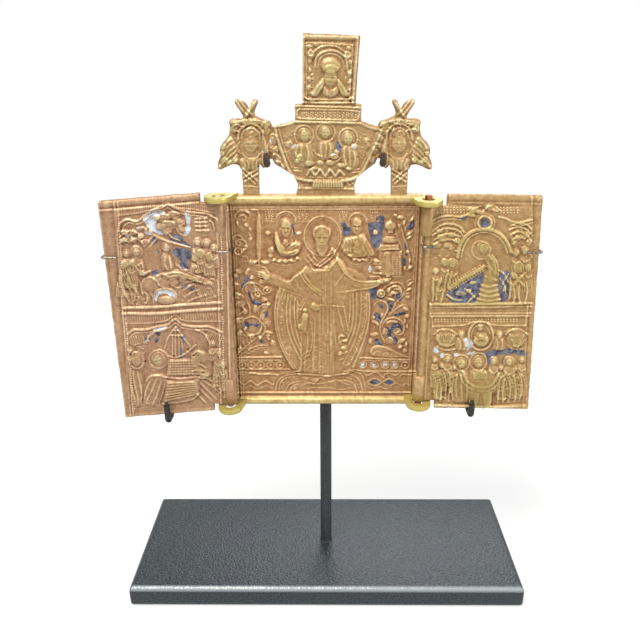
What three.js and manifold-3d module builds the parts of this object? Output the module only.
// Folding travel icon of cast brass on a steel display stand.
// Millimetres, +Z up, seen from -Y. The origin is the middle of the base's underside.
// A depth is counted forward (towards -Y) from the axis of the stand's post.
import * as THREE from 'three';
import { mergeVertices } from 'three/addons/utils/BufferGeometryUtils.js';
import Module from 'manifold-3d';

const wasm = await Module();
wasm.setup();

// Base plate and post
const baseWidth = 160;
const baseDepth = 60;
const baseThickness = 9.5;
const baseEdgeRadius = 1.7;
const postDiameter = 4.76;
const postStandAbove = 3;
const screwDiameter = 2.5;
const screwHeadDiameter = 5.6;
const screwHeadHeight = 1.6;
const screwReach = 9;

// Clearances
const fitGap = 0.3;
const overrun = 1;

// Rail across the post, and the ledges that carry the wings' cradles
const railThickness = 2;
const railHeight = 6;
const railRise = 15.4;
const railOverhang = 5.5;
const ledgeWidth = 8;
const ledgeShelfThickness = 1.5;
const ledgeStopThickness = 0.8;
const ledgeStopHeight = 5;
const footHeight = 3;

// Wires and sleeves
const hookWireDiameter = 1.4;
const sleeveWall = 0.4;
const sleeveGap = 0.3;
const clipWireDiameter = 0.8;
const hookBendRadius = 2.2;
const clipBendRadius = 1.2;
const hookTipBare = 1.2;
const hookFingerHeight = { left: 8.2, right: 6.4 };
const hookPlace = { left: 24, right: 20 };
const sleeveTail = 5;
const clipDrop = { left: { outer: 20.5, inner: 18.5 }, right: { outer: 19, inner: 17 } };
const clipTip = { outer: 5.4, inner: 4.6 };
const crestHookShare = 0.542;
const crestHookFinger = 4;
const crestHookStandoff = 0.8;
const yokeRise = 16;

// Centre leaf
const leafFoot = 81.6;
const leafWidth = 70.8;
const leafHeight = 82.4;
const leafThickness = 2.4;
const leafRelief = 1.2;
const leafRimWidth = 1.4;
const leafRimHeight = 0.5;
const railBarDiameter = 3.4;
const lineWidth = 0.8;
const lineHeight = 0.5;

// Hinge axes and the four cast lugs
const hingeReach = 5.2;
const hingeOverhang = { left: 1.2, right: 0.1 };
const lugThickness = 1.9;
const lugHalfWidth = 4.85;
const lugHalfDepth = 6;
const lugHoleHalfWidth = 2.1;
const lugHoleHalfDepth = 2.7;
const lugRootWidth = 5;
const lugTopRise = { left: 0.9, right: -0.6 };
const lugFootRise = { left: 2.7, right: 4.2 };

// Wings, their pins and borders
const wingThickness = 2.2;
const wingRelief = 1;
const wingWidth = { left: 41.5, right: 42.4 };
const wingBelowLeaf = { left: 2.8, right: -0.7 };
const wingAboveLeaf = { left: 1.8, right: 1.1 };
const outerBorder = { left: 5.6, right: 2.8 };
const innerBorder = { left: 2.7, right: 1.6 };
const borderHeight = 0.8;
const endBar = { left: 2.2, right: 2 };
const pinDiameter = 2.6;
const pinReach = { left: { top: 2.2, foot: 1.2 }, right: { top: 3.6, foot: 2.3 } };
const pinRoot = 9;
const pinGap = 0.2;
const barrelDiameter = 4.6;
const barrelLength = 10.5;

// Crest
const crestHalfWidth = 36.7;
const crestHeight = 52;
const crestThickness = 2;
const crestRelief = 1.3;
const crestLine = 0.7;

// Enamel lies in the hollows of the castings
const enamelThickness = 0.45;

// Roundness
const roundSides = 20;
const smallSides = 10;
const wireSides = 8;
const bendSteps = 4;
const edgeSteps = 4;

// Depths worked out from the sizes above
const postRadius = postDiameter / 2;
const railBack = postRadius + fitGap;
const railFront = railBack + railThickness;
const leafBack = railFront + fitGap;
const leafFace = leafBack + leafThickness;
const crestFace = leafBack + crestThickness;
const hingeDepth = leafFace + hingeReach;
const wingBack = hingeDepth - wingThickness / 2;
const wingFace = hingeDepth + wingThickness / 2;
const leafTop = leafFoot + leafHeight;
const railFoot = leafFoot + railRise;
const yokeTop = leafTop + yokeRise;
const postTop = yokeTop + postStandAbove;
const wingFoot = { left: leafFoot - wingBelowLeaf.left, right: leafFoot - wingBelowLeaf.right };
const wingHeight = {
  left: leafTop + wingAboveLeaf.left - wingFoot.left,
  right: leafTop + wingAboveLeaf.right - wingFoot.right,
};
const sides = { left: -1, right: 1 };

// Materials
const finish = (color, roughness, metalness) => (
  new THREE.MeshStandardMaterial({ color, roughness, metalness })
);
const paintedSteel = () => finish(0x3c4246, 0.6, 0.3);
const blackSteel = () => finish(0x1d1f20, 0.5, 0.5);
const wireSteel = () => finish(0x6e6c68, 0.4, 0.9);
const sleeveRubber = () => finish(0x141312, 0.7, 0);
const brass = () => finish(0xb98a58, 0.45, 0.9);
const copper = () => finish(0xa55f3c, 0.4, 0.95);
const darkEnamel = () => finish(0x3a3d63, 0.25, 0);
const paleEnamel = () => finish(0xb9bcc0, 0.3, 0);

// A closed geometry becomes a solid that can be joined and cut
function toSolid(geometry) {
  geometry.deleteAttribute('normal');
  geometry.deleteAttribute('uv');
  const merged = mergeVertices(geometry);
  return new wasm.Manifold(new wasm.Mesh({
    numProp: 3,
    vertProperties: new Float32Array(merged.attributes.position.array),
    triVerts: new Uint32Array(merged.index.array),
  }));
}

function toGeometry(solid) {
  const mesh = solid.getMesh();
  const geometry = new THREE.BufferGeometry();
  geometry.setAttribute('position', new THREE.BufferAttribute(mesh.vertProperties, 3));
  geometry.setIndex(new THREE.BufferAttribute(mesh.triVerts, 1));
  geometry.computeVertexNormals();
  return geometry;
}

const join = (solids) => wasm.Manifold.union(solids);

// Flat shapes are drawn in X and Z and stand between two depths
function slab(shape, back, front, segments = roundSides / 2) {
  const geometry = new THREE.ExtrudeGeometry(shape, {
    depth: front - back,
    bevelEnabled: false,
    curveSegments: segments,
  });
  geometry.rotateX(Math.PI / 2);
  geometry.translate(0, -back, 0);
  return toSolid(geometry);
}

const polygon = (points) => new THREE.Shape(points.map(([x, z]) => new THREE.Vector2(x, z)));

function ellipse(x, z, halfWidth, halfHeight) {
  const shape = new THREE.Shape();
  shape.absellipse(x, z, halfWidth, halfHeight, 0, 2 * Math.PI, false);
  return shape;
}

function ring(x, z, halfWidth, halfHeight, width) {
  const shape = ellipse(x, z, halfWidth, halfHeight);
  const hole = new THREE.Path();
  hole.absellipse(x, z, halfWidth - width, halfHeight - width, 0, 2 * Math.PI, true);
  shape.holes.push(hole);
  return shape;
}

// Level plates are drawn in X and Y and stand between two heights
function layer(shape, foot, top) {
  const geometry = new THREE.ExtrudeGeometry(shape, {
    depth: top - foot,
    bevelEnabled: false,
    curveSegments: roundSides / 2,
  });
  geometry.translate(0, 0, foot);
  return toSolid(geometry);
}

// A straight raised line between two points of a face
function line(from, to, width, face, height) {
  const start = new THREE.Vector2(...from);
  const along = new THREE.Vector2(...to).sub(start);
  const across = new THREE.Vector2(-along.y, along.x).setLength(width / 2);
  const corners = [[1, 0], [1, 1], [-1, 1], [-1, 0]].map(([turn, far]) => [
    start.x + far * along.x + turn * across.x,
    start.y + far * along.y + turn * across.y,
  ]);
  return slab(polygon(corners.reverse()), face - height, face + height);
}

// A low rounded swelling on a face, such as a head or a knee
function dome(x, z, halfWidth, halfHeight, face, height) {
  const geometry = new THREE.SphereGeometry(1, smallSides, smallSides / 2);
  geometry.scale(halfWidth, height, halfHeight);
  geometry.translate(x, -face, z);
  return toSolid(geometry);
}

function cylinder(radius, foot, top, x, depth, count = roundSides) {
  const geometry = new THREE.CylinderGeometry(radius, radius, top - foot, count);
  geometry.rotateX(Math.PI / 2);
  geometry.translate(x, -depth, (foot + top) / 2);
  return toSolid(geometry);
}

function block(left, right, back, front, foot, top) {
  const geometry = new THREE.BoxGeometry(right - left, front - back, top - foot);
  geometry.translate((left + right) / 2, -(back + front) / 2, (foot + top) / 2);
  return toSolid(geometry);
}

// A bent wire runs straight between its corners and has a few short steps round each bend
class BentWire extends THREE.Curve {
  constructor(corners, bendRadius) {
    super();
    const points = corners.map(([x, depth, z]) => new THREE.Vector3(x, -depth, z));
    this.points = [points[0]];
    for (let i = 1; i < points.length - 1; i += 1) {
      const back = points[i - 1].clone().sub(points[i]).setLength(bendRadius).add(points[i]);
      const ahead = points[i + 1].clone().sub(points[i]).setLength(bendRadius).add(points[i]);
      this.points.push(...new THREE.QuadraticBezierCurve3(back, points[i], ahead).getPoints(bendSteps));
    }
    this.points.push(points[points.length - 1]);
  }

  getPoint(t) {
    const place = t * (this.points.length - 1);
    const index = Math.min(Math.floor(place), this.points.length - 2);
    return this.points[index].clone().lerp(this.points[index + 1], place - index);
  }

  getUtoTmapping(u) {
    return u;
  }
}

function wire(corners, bendRadius, radius) {
  const route = new BentWire(corners, bendRadius);
  const shape = new THREE.Shape();
  shape.absarc(0, 0, radius, 0, 2 * Math.PI, false);
  return toSolid(new THREE.ExtrudeGeometry(shape, {
    steps: route.points.length - 1,
    curveSegments: wireSides / 2,
    extrudePath: route,
  }));
}

// A sleeve is a thicker tube on the same route, bored right through
function sleeve(corners, bendRadius, radius, bore) {
  const longer = corners.slice();
  const end = corners.length - 1;
  const beyond = (tip, next) => tip.map((value, i) => value + Math.sign(value - next[i]) * overrun);
  longer[0] = beyond(corners[0], corners[1]);
  longer[end] = beyond(corners[end], corners[end - 1]);
  return wire(corners, bendRadius, radius).subtract(wire(longer, bendRadius, bore));
}

const group = new THREE.Group();

function add(name, solid, material) {
  const mesh = new THREE.Mesh(toGeometry(solid), material);
  mesh.name = name;
  group.add(mesh);
}

// Base plate, drilled and countersunk from below for the post's screw
function basePlate() {
  const inset = baseEdgeRadius;
  const width = baseWidth / 2 - inset;
  const depth = baseDepth / 2 - inset;
  const shape = polygon([[-width, -depth], [width, -depth], [width, depth], [-width, depth]]);
  const geometry = new THREE.ExtrudeGeometry(shape, {
    depth: baseThickness - 2 * inset,
    bevelThickness: inset,
    bevelSize: inset,
    bevelSegments: edgeSteps,
  });
  geometry.translate(0, 0, inset);
  const drill = cylinder(screwDiameter / 2 + fitGap, -overrun, baseThickness + overrun, 0, 0, smallSides);
  const sinkRadius = screwHeadDiameter / 2 + fitGap;
  const sink = cylinder(sinkRadius, -overrun, screwHeadHeight + 2 * fitGap, 0, 0, smallSides);
  return toSolid(geometry).subtract(join([drill, sink]));
}

function post() {
  const rod = cylinder(postRadius, baseThickness, postTop, 0, 0);
  const boreTop = baseThickness + screwReach + fitGap;
  const bore = cylinder(screwDiameter / 2 + fitGap, baseThickness - overrun, boreTop, 0, 0, smallSides);
  return rod.subtract(bore);
}

function postScrew() {
  const foot = fitGap;
  const head = cylinder(screwHeadDiameter / 2, foot, foot + screwHeadHeight, 0, 0, smallSides);
  const shank = cylinder(screwDiameter / 2, foot + fitGap, baseThickness + screwReach, 0, 0, smallSides);
  return head.add(shank);
}

add('base_plate', basePlate(), paintedSteel());
add('post', post(), blackSteel());
add('post_screw', postScrew(), wireSteel());

// Places on the castings: across as a share of a half width or width, up as a share of a height
const onLeaf = ([u, v]) => [u * leafWidth / 2, leafFoot + v * leafHeight];
const onCrest = ([u, v]) => [u * crestHalfWidth, leafTop + v * crestHeight];
const hingeX = {
  left: -(leafWidth / 2 + hingeOverhang.left),
  right: leafWidth / 2 + hingeOverhang.right,
};
const onWing = (side) => ([u, v]) => [
  hingeX[side] + sides[side] * u * wingWidth[side],
  wingFoot[side] + v * wingHeight[side],
];
const outline = (place, shares) => polygon(shares.map(place));
const mirrored = (shares) => shares.map(([u, v]) => [-u, v]);

// A small haloed figure: its head and body are shares of the halo's radius and of the relief
const figureHeadShares = [0.55, 0.7];
const figureBodyShares = [1.1, 2];
const figureDropShare = 2.6;
const figureHaloHeightShare = 0.35;
const figureBodyHeightShare = 0.8;

function haloedHead([x, z], halo, face, relief) {
  const [headWidth, headHeight] = figureHeadShares;
  return [
    slab(ellipse(x, z, halo, halo), face - relief, face + relief * figureHaloHeightShare, smallSides / 2),
    dome(x, z, halo * headWidth, halo * headHeight, face, relief),
  ];
}

function figure([x, z], halo, face, relief) {
  const [bodyWidth, bodyHeight] = figureBodyShares;
  const drop = figureDropShare * halo;
  const bodyRelief = relief * figureBodyHeightShare;
  return [
    ...haloedHead([x, z], halo, face, relief),
    dome(x, z - drop, halo * bodyWidth, halo * bodyHeight, face, bodyRelief),
  ];
}

// Lugs stand forward from the leaf's corners, each with a worn, long hole
function lug(side, topFace) {
  const x = hingeX[side];
  const edge = x - sides[side] * hingeOverhang[side];
  const foot = topFace - lugThickness;
  const plate = layer(ellipse(x, -hingeDepth, lugHalfWidth, lugHalfDepth), foot, topFace);
  const web = layer(polygon([
    [edge, -leafFace + fitGap],
    [edge - sides[side] * lugRootWidth, -leafFace + fitGap],
    [x - sides[side] * lugHalfWidth, -hingeDepth],
    [x, -hingeDepth],
  ]), foot, topFace);
  const hole = ellipse(x, -hingeDepth, lugHoleHalfWidth, lugHoleHalfDepth);
  return plate.add(web).subtract(layer(hole, foot - overrun, topFace + overrun));
}

const lugTop = { left: leafTop + lugTopRise.left, right: leafTop + lugTopRise.right };
const lugFoot = { left: leafFoot + lugFootRise.left, right: leafFoot + lugFootRise.right };

// Centre leaf: a standing bishop, two busts beside the halo and the lower bands
const haloShares = [-0.023, 0.828];
const haloRadius = 6.8;
const haloWidth = 1.2;
const haloHeightShare = 0.6;
const headShares = [-0.028, 0.801];
const headHalfWidth = 3.6;
const headHalfHeight = 5.7;
const robeShares = [-0.04, 0.442];
const robeHalfShares = [0.506, 0.291];
const robeHeightShare = 0.55;
const armShares = [
  [-0.69, 0.678], [-0.2, 0.703], [0.14, 0.703], [0.777, 0.666], [0.777, 0.606],
  [0.48, 0.606], [0.367, 0.527], [-0.424, 0.527], [-0.537, 0.618], [-0.69, 0.636],
];
const collarShares = [
  [-0.206, 0.772], [-0.1, 0.727], [0.042, 0.727], [0.141, 0.763], [0.138, 0.684], [-0.206, 0.684],
];
const churchShares = [
  [0.56, 0.64], [0.775, 0.64], [0.775, 0.77], [0.71, 0.8], [0.7, 0.86], [0.66, 0.875],
  [0.62, 0.86], [0.61, 0.8], [0.56, 0.77],
];
const stoleShares = [[-0.033, 0.155], [0.103, 0.155], [0.103, 0.7], [-0.033, 0.7]];
const swordShares = [[-0.667, 0.684], [-0.633, 0.684], [-0.633, 0.94], [-0.667, 0.94]];
const swordGuardShares = [[-0.7, 0.725], [-0.6, 0.725], [-0.6, 0.737], [-0.7, 0.737]];
const leafPlateShares = [
  [armShares, 0.75], [collarShares, 0.9], [churchShares, 0.7],
  [stoleShares, 0.85], [swordShares, 0.6], [swordGuardShares, 0.6],
];
const bustShares = [[-0.404, 0.865], [0.328, 0.871]];
const bustHalo = 3.6;
const bustBodyHalfWidth = 5.2;
const bustBodyHalfHeight = 4.4;
const bustBodyDrop = 6.6;
const bustBodyHeightShare = 0.7;
const pedestalShares = [-0.06, 0.0625];
const pedestalHalfWidth = 17.4;
const pedestalHeight = 7.4;
const pedestalHeightShare = 0.4;
const circleShares = [-0.918, -0.814, -0.709, -0.605, -0.5, 0.4, 0.517, 0.633, 0.75];
const circleRowShare = 0.205;
const circleRadius = 1.5;
const circleHeightShare = 0.45;
const leafLineShares = [
  [[-0.95, 0.17], [-0.45, 0.17]], [[0.4, 0.17], [0.95, 0.17]],
  [[-0.95, 0.09], [-0.52, 0.09]], [[0.47, 0.09], [0.95, 0.09]],
  [[-0.95, 0.0625], [0.95, 0.0625]], [[-0.95, 0.947], [0.95, 0.947]],
];

// Crest: plaque, title bar, bowl with its flanks, bridges and seraphs
const plaqueShares = [[-0.19, 1], [0.316, 0.983], [0.28, 0.56], [-0.204, 0.56]];
const plaqueRimShares = [[-0.16, 0.965], [0.284, 0.95], [0.252, 0.6], [-0.172, 0.6]];
const nicheShares = [0.06, 0.77];
const nicheHalfWidth = 5.2;
const nicheHalfHeight = 6.4;
const clothHeadShares = [0.057, 0.79];
const clothHeadHalfWidth = 2.7;
const clothHeadHalfHeight = 3.9;
const titleShares = [[-0.272, 0.469], [0.335, 0.469], [0.335, 0.581], [-0.272, 0.581]];
const titleRimShares = [[-0.25, 0.485], [0.313, 0.485], [0.313, 0.565], [-0.25, 0.565]];
const rimHeightShare = 0.5;
const bowlShares = [
  [-0.267, 0.479], [-0.493, 0.442], [-0.523, 0.337], [-0.495, 0.24], [-0.47, 0.2], [-0.297, 0.129],
  [-0.256, 0.067], [-0.281, -0.02], [0.294, -0.02], [0.278, 0.056], [0.305, 0.115], [0.47, 0.2],
  [0.495, 0.24], [0.534, 0.337], [0.504, 0.433], [0.335, 0.473],
];
const cupShares = [
  [-0.444, 0.44], [-0.39, 0.346], [-0.365, 0.246], [-0.319, 0.152], [-0.221, 0.102], [0.264, 0.079],
  [0.316, 0.11], [0.387, 0.169], [0.398, 0.25], [0.436, 0.337], [0.5, 0.43], [0.33, 0.46], [-0.26, 0.465],
];
const guestShares = [[-0.191, 0.388], [0.005, 0.396], [0.218, 0.358]];
const guestHalo = 2.6;
const cupHeightShare = 0.35;
const tableShares = [0.01, 0.205];
const tableHalfWidth = 7.4;
const tableHalfHeight = 1.7;
const tableHeightShare = 0.8;
const stepShares = [[-0.123, 0.045], [0.18, 0.045], [0.18, 0.09], [-0.123, 0.09]];
const stepHeightShare = 0.6;
const bridgeShares = [[0.49, 0.235], [0.66, 0.235], [0.66, 0.32], [0.49, 0.32]];
const seraphShares = [
  [0.63, -0.02], [0.78, -0.02], [0.79, 0.19], [0.82, 0.17], [0.98, 0.135], [1, 0.29], [0.925, 0.365],
  [0.877, 0.448], [0.83, 0.49], [0.74, 0.53], [0.845, 0.605], [0.8, 0.612], [0.718, 0.548], [0.64, 0.615],
  [0.598, 0.6], [0.672, 0.532], [0.62, 0.515], [0.535, 0.432], [0.545, 0.35], [0.56, 0.24], [0.63, 0.19],
];
const seraphFaceShares = [0.686, 0.321];
const seraphFaceHalfWidth = 3.1;
const seraphFaceHalfHeight = 2.6;
const seraphHalo = 4.3;

function centreRelief() {
  const back = leafFace - leafRelief / 2;
  const raised = (shape, share) => slab(shape, back, leafFace + share * leafRelief);
  const [haloX, haloZ] = onLeaf(haloShares);
  const robeHalfWidth = robeHalfShares[0] * leafWidth / 2;
  const robeHalfHeight = robeHalfShares[1] * leafHeight;
  const parts = [
    raised(ellipse(...onLeaf(robeShares), robeHalfWidth, robeHalfHeight), robeHeightShare),
    raised(ring(haloX, haloZ, haloRadius, haloRadius, haloWidth), haloHeightShare),
    dome(...onLeaf(headShares), headHalfWidth, headHalfHeight, leafFace, leafRelief),
  ];
  for (const [shares, heightShare] of leafPlateShares) {
    parts.push(raised(outline(onLeaf, shares), heightShare));
  }
  for (const shares of bustShares) {
    const [x, z] = onLeaf(shares);
    const bodyRelief = leafRelief * bustBodyHeightShare;
    parts.push(...haloedHead([x, z], bustHalo, leafFace, leafRelief));
    parts.push(dome(x, z - bustBodyDrop, bustBodyHalfWidth, bustBodyHalfHeight, leafFace, bodyRelief));
  }
  const pedestal = new THREE.Shape();
  pedestal.absellipse(...onLeaf(pedestalShares), pedestalHalfWidth, pedestalHeight, 0, Math.PI, false);
  parts.push(raised(pedestal, pedestalHeightShare));
  for (const share of circleShares) {
    const shape = ring(...onLeaf([share, circleRowShare]), circleRadius, circleRadius, lineWidth);
    parts.push(raised(shape, circleHeightShare));
  }
  for (const [from, to] of leafLineShares) {
    parts.push(line(onLeaf(from), onLeaf(to), lineWidth, leafFace, lineHeight));
  }
  for (const side of Object.values(sides)) {
    const edges = [side * leafWidth / 2, side * (leafWidth / 2 - leafRimWidth)].sort((a, b) => a - b);
    parts.push(block(...edges, back, leafFace + leafRimHeight, leafFoot, leafTop));
  }
  for (const height of [leafFoot + railBarDiameter / 2, leafTop - railBarDiameter / 2]) {
    const bar = new THREE.CylinderGeometry(railBarDiameter / 2, railBarDiameter / 2, leafWidth, smallSides);
    bar.rotateZ(Math.PI / 2);
    bar.translate(0, -leafFace, height);
    parts.push(toSolid(bar));
  }
  return join(parts);
}

// The crest stands on the leaf's top edge and is pierced beside the seraphs' stems
function crest() {
  const plate = (shares) => slab(outline(onCrest, shares), leafBack, crestFace);
  const raised = (shape, share) => slab(shape, crestFace - crestRelief / 2, crestFace + share * crestRelief);
  const rim = (outer, inner) => (
    raised(outline(onCrest, outer), rimHeightShare).subtract(raised(outline(onCrest, inner), 1))
  );
  const plates = [plaqueShares, titleShares, bowlShares, bridgeShares, seraphShares];
  const parts = [...plates, mirrored(bridgeShares), mirrored(seraphShares)].map(plate);
  for (const side of Object.values(sides)) {
    const [x, z] = onCrest([side * seraphFaceShares[0], seraphFaceShares[1]]);
    parts.push(raised(ring(x, z, seraphHalo, seraphHalo, crestLine), rimHeightShare));
    parts.push(dome(x, z, seraphFaceHalfWidth, seraphFaceHalfHeight, crestFace, crestRelief));
  }
  parts.push(rim(titleShares, titleRimShares));
  parts.push(rim(plaqueShares, plaqueRimShares));
  parts.push(raised(outline(onCrest, cupShares), cupHeightShare));
  const niche = ring(...onCrest(nicheShares), nicheHalfWidth, nicheHalfHeight, crestLine);
  parts.push(raised(niche, rimHeightShare));
  const clothHead = onCrest(clothHeadShares);
  parts.push(dome(...clothHead, clothHeadHalfWidth, clothHeadHalfHeight, crestFace, crestRelief));
  for (const shares of guestShares) {
    parts.push(...haloedHead(onCrest(shares), guestHalo, crestFace, crestRelief));
  }
  const tableRelief = crestRelief * tableHeightShare;
  parts.push(dome(...onCrest(tableShares), tableHalfWidth, tableHalfHeight, crestFace, tableRelief));
  parts.push(raised(outline(onCrest, stepShares), stepHeightShare));
  return join(parts);
}

function centreLeaf() {
  const plate = block(-leafWidth / 2, leafWidth / 2, leafBack, leafFace, leafFoot, leafTop);
  const lugs = Object.keys(sides).flatMap((side) => [lug(side, lugTop[side]), lug(side, lugFoot[side])]);
  return join([plate, centreRelief(), crest(), ...lugs]);
}

add('centre_leaf', centreLeaf(), brass());

// Wings: shares run from the hinge axis to the outer edge, and from foot to top.
// The third share of a figure, and a ring's own sizes, are shares of the wing's width.
const wingOutlineShares = {
  left: [[-0.065, 0.045], [0.995, 0], [1, 0.969], [0.16, 1], [-0.065, 1]],
  right: [[-0.012, 0.01], [1, 0], [0.91, 0.993], [0.177, 1], [-0.021, 1]],
};
const dividerShares = {
  left: [[0, 0.495], [1, 0.495], [1, 0.545], [0, 0.545]],
  right: [[0, 0.471], [1, 0.471], [1, 0.525], [0, 0.525]],
};
const dividerHeightShare = 0.7;
const wingFigureShares = {
  left: [
    [0.477, 0.778, 0.063], [0.834, 0.764, 0.041], [0.718, 0.752, 0.041], [0.19, 0.797, 0.041],
    [0.096, 0.805, 0.041], [0.829, 0.298, 0.058], [0.646, 0.283, 0.058], [0.263, 0.321, 0.048],
    [0.301, 0.254, 0.048], [0.41, 0.386, 0.053],
  ],
  right: [
    [0.474, 0.784, 0.075], [0.226, 0.68, 0.057], [0.807, 0.825, 0.042], [0.771, 0.679, 0.052],
    [0.507, 0.392, 0.057], [0.127, 0.254, 0.05], [0.25, 0.254, 0.05], [0.356, 0.254, 0.05],
    [0.505, 0.254, 0.064], [0.656, 0.254, 0.05], [0.778, 0.254, 0.05], [0.882, 0.254, 0.05],
  ],
};
const wingRingShares = {
  left: [[0.516, 0.575, 0.106, 0.063], [0.388, 0.899, 0.082, 0.072]],
  right: [[0.46, 0.883, 0.064, 0.064], [0.446, 0.72, 0.203, 0.236], [0.507, 0.38, 0.111, 0.132]],
};
const wingRingHeightShare = 0.6;
const wingLineShares = {
  left: [
    [[0.853, 0.859], [0.458, 0.951]], [[0.458, 0.951], [0.164, 0.857]],
    [[0.85, 0.4], [0.436, 0.474]], [[0.436, 0.474], [0.1, 0.4]],
    [[0.35, 0.29], [0.58, 0.3]], [[0.58, 0.3], [0.6, 0.08]],
    [[0.6, 0.08], [0.36, 0.08]], [[0.36, 0.08], [0.35, 0.29]],
  ],
  right: [
    [[0.13, 0.94], [0.4, 0.9]], [[0.55, 0.9], [0.85, 0.94]], [[0.24, 0.6], [0.47, 0.7]],
    [[0.13, 0.31], [0.36, 0.34]], [[0.64, 0.34], [0.93, 0.31]],
  ],
};

const notchTop = (side) => lugTop[side] - lugThickness - fitGap;
const notchFoot = (side) => lugFoot[side] + fitGap;

function wingBars(side, corners) {
  const place = onWing(side);
  const [innerFoot, outerFoot, outerTop, top, innerTop] = corners;
  const border = (from, to, width) => line(from, to, 2 * width, wingFace, borderHeight);
  const bars = [
    border(outerFoot, outerTop, outerBorder[side]),
    border(innerFoot, innerTop, innerBorder[side]),
    border(innerFoot, outerFoot, endBar[side]),
    border(top, outerTop, endBar[side]),
  ];
  const dividerFront = wingFace + borderHeight * dividerHeightShare;
  bars.push(slab(outline(place, dividerShares[side]), wingFace - borderHeight, dividerFront));
  for (const [u, v, widthShare, heightShare] of wingRingShares[side]) {
    const [halfWidth, halfHeight] = [widthShare * wingWidth[side], heightShare * wingWidth[side]];
    const shape = ring(...place([u, v]), halfWidth, halfHeight, lineWidth);
    bars.push(slab(shape, wingFace - wingRelief / 2, wingFace + wingRelief * wingRingHeightShare));
  }
  for (const [from, to] of wingLineShares[side]) {
    bars.push(line(place(from), place(to), lineWidth, wingFace, lineHeight));
  }
  return bars;
}

function wing(side) {
  const place = onWing(side);
  const corners = wingOutlineShares[side].map(place);
  const blank = slab(polygon(corners), wingBack, wingFace);
  const figures = wingFigureShares[side].flatMap(([u, v, haloShare]) => (
    figure(place([u, v]), haloShare * wingWidth[side], wingFace, wingRelief)
  ));
  const bounds = slab(polygon(corners), wingBack, wingFace + wingRelief + overrun);
  const relief = join([...wingBars(side, corners), ...figures]).intersect(bounds);
  const x = hingeX[side];
  const clear = lugHalfDepth + fitGap;
  const notch = [x - clear, x + clear, wingBack - overrun, wingFace + 2 * overrun];
  const notches = [
    block(...notch, notchTop(side), leafTop + 2 * lugThickness),
    block(...notch, wingFoot[side] - overrun, notchFoot(side)),
  ];
  const barrelRadius = barrelDiameter / 2;
  const barrels = [
    cylinder(barrelRadius, notchTop(side) - barrelLength, notchTop(side), x, hingeDepth, smallSides),
    cylinder(barrelRadius, notchFoot(side), notchFoot(side) + barrelLength, x, hingeDepth, smallSides),
  ];
  return join([blank, relief]).subtract(join(notches)).add(join(barrels));
}

// Hinge pins: cast with the left wing, copper rods let into the right wing's barrels
function pin(side, end, radius) {
  const [foot, top] = end === 'top'
    ? [notchTop(side) - pinRoot, notchTop(side) + pinReach[side].top]
    : [notchFoot(side) - pinReach[side].foot, notchFoot(side) + pinRoot];
  return cylinder(radius, foot, top, hingeX[side], hingeDepth, smallSides);
}

const pinRadius = pinDiameter / 2;
const pinEnds = ['top', 'foot'];
const leftPins = pinEnds.map((end) => pin('left', end, pinRadius));
add('left_wing', join([wing('left'), ...leftPins]), brass());
const bores = join(pinEnds.map((end) => pin('right', end, pinRadius + pinGap)));
const boreEnds = join([
  block(-leafWidth, leafWidth, 0, 2 * hingeDepth, notchTop('right'), 2 * leafTop),
  block(-leafWidth, leafWidth, 0, 2 * hingeDepth, 0, notchFoot('right')),
]);
add('right_wing', wing('right').subtract(bores.subtract(boreEnds)), brass());
for (const end of pinEnds) {
  add(`right_wing_pin_${end}`, pin('right', end, pinRadius), copper());
}

// Height of a wing's foot edge and reach of its side edges, for the wires that wrap them
function footEdge(side, place) {
  const [[u0, v0], [u1, v1]] = wingOutlineShares[side];
  const share = (place / wingWidth[side] - u0) / (u1 - u0);
  return wingFoot[side] + (v0 + share * (v1 - v0)) * wingHeight[side];
}

function sideEdge(side, edge, height) {
  const shares = wingOutlineShares[side];
  const [[u0, v0], [u1, v1]] = edge === 'outer' ? [shares[1], shares[2]] : [shares[0], shares[4]];
  const v = (height - wingFoot[side]) / wingHeight[side];
  return (u0 + (u1 - u0) * (v - v0) / (v1 - v0)) * wingWidth[side];
}

const wireRadius = hookWireDiameter / 2;
const sleeveRadius = wireRadius + sleeveGap + sleeveWall;
const clipRadius = clipWireDiameter / 2;

// A wing's cradle: one hook wire with its sleeve, one clip wire and a foot on the stand's ledge
const hookFrontDepth = wingFace + wingRelief + fitGap + sleeveRadius;
const hookBackDepth = wingBack - fitGap - sleeveRadius;
const clipFrontDepth = wingFace + borderHeight + fitGap + clipRadius;
const clipBackDepth = wingBack - fitGap - clipRadius;
const footFront = hookBackDepth - wireRadius - fitGap;
const footBack = railFront + ledgeStopThickness + fitGap;
const ledgeTop = railFoot + ledgeShelfThickness;

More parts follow.
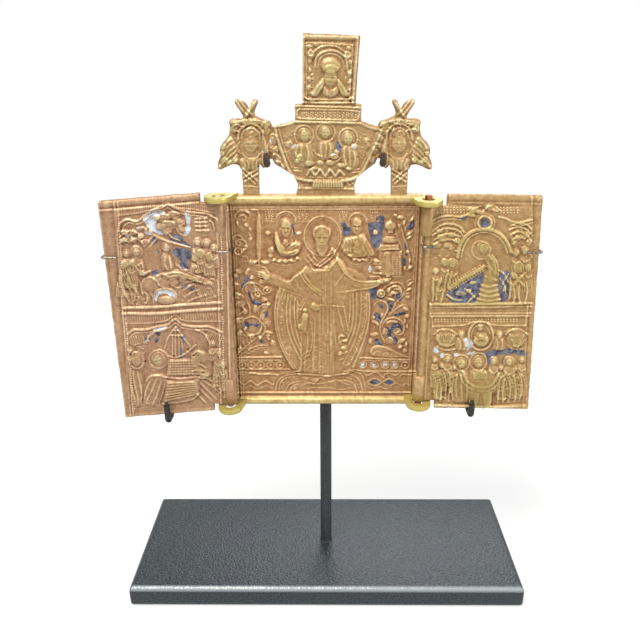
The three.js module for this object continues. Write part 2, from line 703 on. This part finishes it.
for (const side of Object.keys(sides)) {
  const turn = sides[side];
  const x = hingeX[side] + turn * hookPlace[side];
  const under = footEdge(side, hookPlace[side]) - fitGap - sleeveRadius;
  const tip = under + hookFingerHeight[side];
  const outerHeight = leafTop - clipDrop[side].outer;
  const innerHeight = leafTop - clipDrop[side].inner;
  const spineTop = Math.min(outerHeight, innerHeight) - clipRadius - fitGap;
  add(`${side}_hook_wire`, wire([
    [x, hookFrontDepth, tip], [x, hookFrontDepth, under],
    [x, hookBackDepth, under], [x, hookBackDepth, spineTop],
  ], hookBendRadius, wireRadius), blackSteel());
  add(`${side}_hook_sleeve`, sleeve([
    [x, hookFrontDepth, tip - hookTipBare], [x, hookFrontDepth, under],
    [x, hookBackDepth, under], [x, hookBackDepth, under + sleeveTail],
  ], hookBendRadius, sleeveRadius, wireRadius + sleeveGap), sleeveRubber());
  const outerX = hingeX[side] + turn * (sideEdge(side, 'outer', outerHeight) + fitGap + clipRadius);
  const innerX = hingeX[side] + turn * (sideEdge(side, 'inner', innerHeight) - fitGap - clipRadius);
  add(`${side}_clip_wire`, wire([
    [outerX - turn * clipTip.outer, clipFrontDepth, outerHeight], [outerX, clipFrontDepth, outerHeight],
    [outerX, clipBackDepth, outerHeight], [innerX, clipBackDepth, innerHeight],
    [innerX, clipFrontDepth, innerHeight], [innerX + turn * clipTip.inner, clipFrontDepth, innerHeight],
  ], clipBendRadius, clipRadius), wireSteel());
  const footEnds = [x - ledgeWidth / 2, x + ledgeWidth / 2];
  const footUnder = ledgeTop + fitGap;
  const foot = block(...footEnds, footBack, footFront, footUnder, footUnder + footHeight);
  add(`${side}_cradle_foot`, foot, blackSteel());
  const shelf = block(...footEnds, railFront, footFront, railFoot, ledgeTop);
  const stopFront = railFront + ledgeStopThickness;
  const stop = block(...footEnds, railFront, stopFront, railFoot, railFoot + ledgeStopHeight);
  add(`${side}_ledge`, shelf.add(stop), blackSteel());
}

const railEnds = Object.keys(sides).map((side) => (
  hingeX[side] + sides[side] * (hookPlace[side] + railOverhang)
));
add('wing_rail', block(...railEnds, railBack, railFront, railFoot, railFoot + railHeight), blackSteel());

// The crest hangs on one bent wire that crosses the post and hooks under both bridges
const [, bridgeFootHeight] = onCrest(bridgeShares[0]);
const yokeDepth = postRadius + fitGap + wireRadius;
const yokeFront = crestFace + crestHookStandoff + sleeveRadius;
const yokeUnder = bridgeFootHeight - fitGap - sleeveRadius;
const yokeTip = yokeUnder + crestHookFinger;
const yokeX = crestHookShare * crestHalfWidth;
const yokeSide = (turn) => [
  [turn * yokeX, yokeFront, yokeTip],
  [turn * yokeX, yokeFront, yokeUnder],
  [turn * yokeX, yokeDepth, yokeUnder],
  [turn * yokeX, yokeDepth, yokeTop],
];
const yokeCorners = [...yokeSide(-1), ...yokeSide(1).reverse()];
add('crest_yoke', wire(yokeCorners, hookBendRadius, wireRadius), blackSteel());
for (const [side, turn] of Object.entries(sides)) {
  const [tip, under] = yokeSide(turn);
  const corners = [[tip[0], tip[1], tip[2] - hookTipBare / 2], under, [under[0], leafBack, under[2]]];
  const solid = sleeve(corners, hookBendRadius, sleeveRadius, wireRadius + sleeveGap);
  add(`${side}_crest_sleeve`, solid, sleeveRubber());
}

// Enamel patches on the centre leaf, the wings and the crest
const centreEnamelShares = {
  centre_enamel_right: [
    [0.525, 0.26], [0.54, 0.44], [0.51, 0.54], [0.6, 0.59], [0.89, 0.59], [0.92, 0.42], [0.89, 0.25],
  ],
  centre_enamel_left: [
    [-0.62, 0.26], [-0.6, 0.44], [-0.6, 0.6], [-0.89, 0.6], [-0.92, 0.42], [-0.89, 0.26],
  ],
  centre_enamel_upper: [
    [0.5, 0.89], [0.5, 0.93], [0.91, 0.93], [0.91, 0.73], [0.81, 0.73], [0.81, 0.89],
  ],
};
const wingEnamelShares = {
  left: {
    left_enamel_sky: [[0.56, 0.83], [0.6, 0.89], [0.72, 0.86], [0.7, 0.82]],
    left_enamel_hill: [[0.28, 0.62], [0.28, 0.7], [0.36, 0.73], [0.37, 0.6]],
    left_enamel_arch: [[0.62, 0.36], [0.55, 0.41], [0.66, 0.42], [0.74, 0.38]],
  },
  right: {
    right_enamel_ground: [[0.3, 0.54], [0.3, 0.59], [0.375, 0.585], [0.38, 0.54]],
    right_enamel_band: [[0.64, 0.288], [0.64, 0.322], [0.89, 0.302], [0.89, 0.288]],
  },
};
const crestEnamelShares = {
  crest_enamel_left: [[-0.48, 0.27], [-0.5, 0.36], [-0.46, 0.4], [-0.43, 0.4], [-0.4, 0.33], [-0.39, 0.27]],
  crest_enamel_right: [[0.42, 0.27], [0.465, 0.37], [0.51, 0.37], [0.495, 0.27]],
};
const patch = (place, shares, face) => slab(outline(place, shares), face, face + enamelThickness);
for (const [name, shares] of Object.entries(centreEnamelShares)) {
  add(name, patch(onLeaf, shares, leafFace), darkEnamel());
}
for (const [side, patches] of Object.entries(wingEnamelShares)) {
  for (const [name, shares] of Object.entries(patches)) {
    add(name, patch(onWing(side), shares, wingFace), name.endsWith('sky') ? paleEnamel() : darkEnamel());
  }
}
for (const [name, shares] of Object.entries(crestEnamelShares)) {
  add(name, patch(onCrest, shares, crestFace), darkEnamel());
}

export default group;
